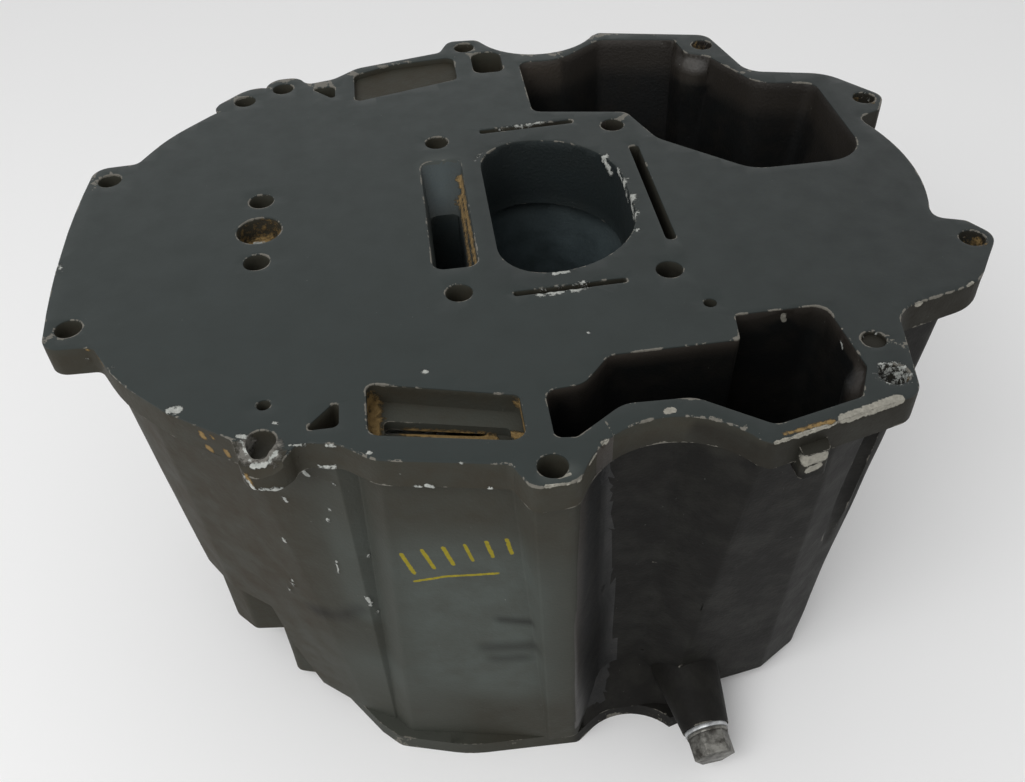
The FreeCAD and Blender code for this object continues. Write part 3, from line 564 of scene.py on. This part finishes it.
# Outer walls: the same enamel on sand-cast skin, browned by oil film, black with grime and with
# painted shade in the arch recess and on the right, and paler with painted light in places
pan_mesh.materials.append(aged_enamel(
    "grimy_shaded_enamel_on_sand_casting", paint="#2e2f29", shade="#383933",
    grime_and_shade="#100f0d", brown="#302a20", pale="#454a46",
    grain=0.45, roughness=0.66, sheen=0.15, wear_mm=0.8))
# Oil wells: cast skin without enamel, stained brown-black by hot oil, which leaves it glossy; the
# near well is blackened by painted shade and the bosses round the bolts carry painted highlights
pan_mesh.materials.append(aged_enamel(
    "oil_stained_sand_casting", paint="#383430", shade="#2e2b28",
    grime_and_shade="#090a0a", brown="#332c24", pale="#5c5852",
    grain=0.5, roughness=0.46, sheen=0.3, wear_mm=0.4))
# Exhaust throat: enamel eaten by exhaust and salt water, dark blue-grey and pitted, with painted
# light in the chamber below
pan_mesh.materials.append(aged_enamel(
    "pitted_exhaust_casting", paint="#2b3335", shade="#1f2628",
    grime_and_shade="#141a1b", brown="#2a2c28", pale="#4a5558",
    grain=0.95, roughness=0.62, sheen=0.25, wear_mm=0.6))

scene = bpy.context.scene
pan_skin = bpy.data.objects.new("pan_skin", pan_mesh)
scene.collection.objects.link(pan_skin)
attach(pan_skin, "root")
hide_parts("oil_pan")


# Drain plug: a turned steel screw with a hexagon head, zinc plated, now dull, with its
# corners rounded by spanners
def plated_metal(name, dark, light, roughness, scale_mm):
    """Plated metal: a clean grey that is stained darker in patches and finely scratched."""
    material, tree, place, shader = new_material(name)
    stain = add_node(tree, "ShaderNodeTexNoise", links={"Vector": place}, values={
        "Scale": 1 / (scale_mm * MM), "Detail": 7.0, "Roughness": 0.68}).outputs["Fac"]
    share = add_node(tree, "ShaderNodeMapRange", links={"Value": stain}, values={
        "From Min": 0.38, "From Max": 0.62}).outputs[0]
    tone = add_node(tree, "ShaderNodeMix", {"data_type": "RGBA"},
                    {6: linear(dark), 7: linear(light)}, {0: share})
    tree.links.new(tone.outputs[2], shader.inputs["Base Color"])
    gloss = add_node(tree, "ShaderNodeMapRange", links={"Value": stain}, values={
        "From Min": 0.3, "From Max": 0.7, "To Min": roughness + 0.14, "To Max": roughness - 0.08})
    tree.links.new(gloss.outputs[0], shader.inputs["Roughness"])
    shader.inputs["Metallic"].default_value = 0.75
    scratch = add_node(tree, "ShaderNodeTexNoise", links={"Vector": place}, values={
        "Scale": 1 / (0.7 * MM), "Detail": 3.0}).outputs["Fac"]
    dents = add_node(tree, "ShaderNodeBump", values={"Strength": 0.35, "Distance": 0.15 * MM},
                     links={"Height": scratch})
    tree.links.new(dents.outputs[0], shader.inputs["Normal"])
    return material


def add_small_piece(node, material, rounding):
    """A small turned piece in place of its CAD node, with rounded edges."""
    copy = merged_copy(node)
    turn = math.radians(35)
    sharp = [e for e in copy.edges if e.is_manifold and e.calc_face_angle() > turn]
    round_edges(copy, sharp, rounding, segments=2)
    mesh = bpy.data.meshes.new(node + "_skin")
    copy.to_mesh(mesh)
    copy.free()
    mesh.materials.append(material)
    piece = bpy.data.objects.new(node + "_skin", mesh)
    scene.collection.objects.link(piece)
    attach(piece, "root")
    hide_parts(node)


add_small_piece("drain_plug",
                plated_metal("dull_plated_steel", "#3a3834", "#7c7b76", 0.5, 5), 0.5 * MM)

# Drain gasket: a stamped soft aluminium washer, crushed bright between boss and plug
add_small_piece("drain_gasket",
                plated_metal("crushed_soft_aluminium", "#8b8d8e", "#b9bbbc", 0.4, 3), 0.35 * MM)

# Floor: a plain pale studio table top under the casting, matt, so it takes a soft shadow
FLOOR_GAP = 0.2 * MM
floor_shape = bmesh.new()
bmesh.ops.create_grid(floor_shape, x_segments=1, y_segments=1, size=3.0,
                      matrix=Matrix.Translation((0, 0, cad_low[2] - FLOOR_GAP)))
floor_mesh = bpy.data.meshes.new("floor")
floor_shape.to_mesh(floor_mesh)
floor_shape.free()
floor = bpy.data.objects.new("floor", floor_mesh)
scene.collection.objects.link(floor)
floor_material, tree, place, shader = new_material("matt_white_table")
shader.inputs["Base Color"].default_value = linear("#f4f4f4")
shader.inputs["Roughness"].default_value = 0.9
floor_mesh.materials.append(floor_material)
floor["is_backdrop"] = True

# Light: soft white room light all round, one large lamp high on the left and in front
world = bpy.data.worlds.new("studio")
world.use_nodes = True
scene.world = world
world_tree = world.node_tree
world_tree.nodes.clear()
ray = add_node(world_tree, "ShaderNodeLightPath")
seen = add_node(world_tree, "ShaderNodeMath", {"operation": "MAXIMUM"},
                links={0: ray.outputs["Is Camera Ray"], 1: ray.outputs["Is Glossy Ray"]})
strength = add_node(world_tree, "ShaderNodeMix", values={2: 0.62, 3: 1.0},
                    links={0: seen.outputs[0]})
sky = add_node(world_tree, "ShaderNodeBackground", values={"Color": (1, 1, 1, 1)},
               links={"Strength": strength.outputs[0]})
add_node(world_tree, "ShaderNodeOutputWorld", links={"Surface": sky.outputs[0]})
key = bpy.data.lights.new("key", "AREA")
key.shape = "RECTANGLE"
key.size = 1.2
key.size_y = 0.9
key.energy = 16
key_lamp = bpy.data.objects.new("key", key)
key_lamp.location = (-0.75, -0.9, 1.15)
key_lamp.rotation_euler = Vector((0.75, 0.9, -1.2)).to_track_quat("-Z", "Y").to_euler()
scene.collection.objects.link(key_lamp)

# Camera: above and in front of the nose side, as the photograph was taken
camera = bpy.data.cameras.new("camera")
camera.lens = 35.8
camera.sensor_width = 36
camera.clip_start = 0.01
eye = bpy.data.objects.new("camera", camera)
right = Vector((0.9908, -0.1298, -0.0375))
forward = Vector((0.0670, 0.7131, -0.6979)).normalized()
right = (right - forward * right.dot(forward)).normalized()
up = right.cross(forward)
eye.matrix_world = Matrix.Translation((-0.0525, -0.3707, 0.250)) @ Matrix(
    (right, up, -forward)).transposed().to_4x4()
scene.collection.objects.link(eye)
scene.camera = eye
scene.view_settings.view_transform = "Standard"

low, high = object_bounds()
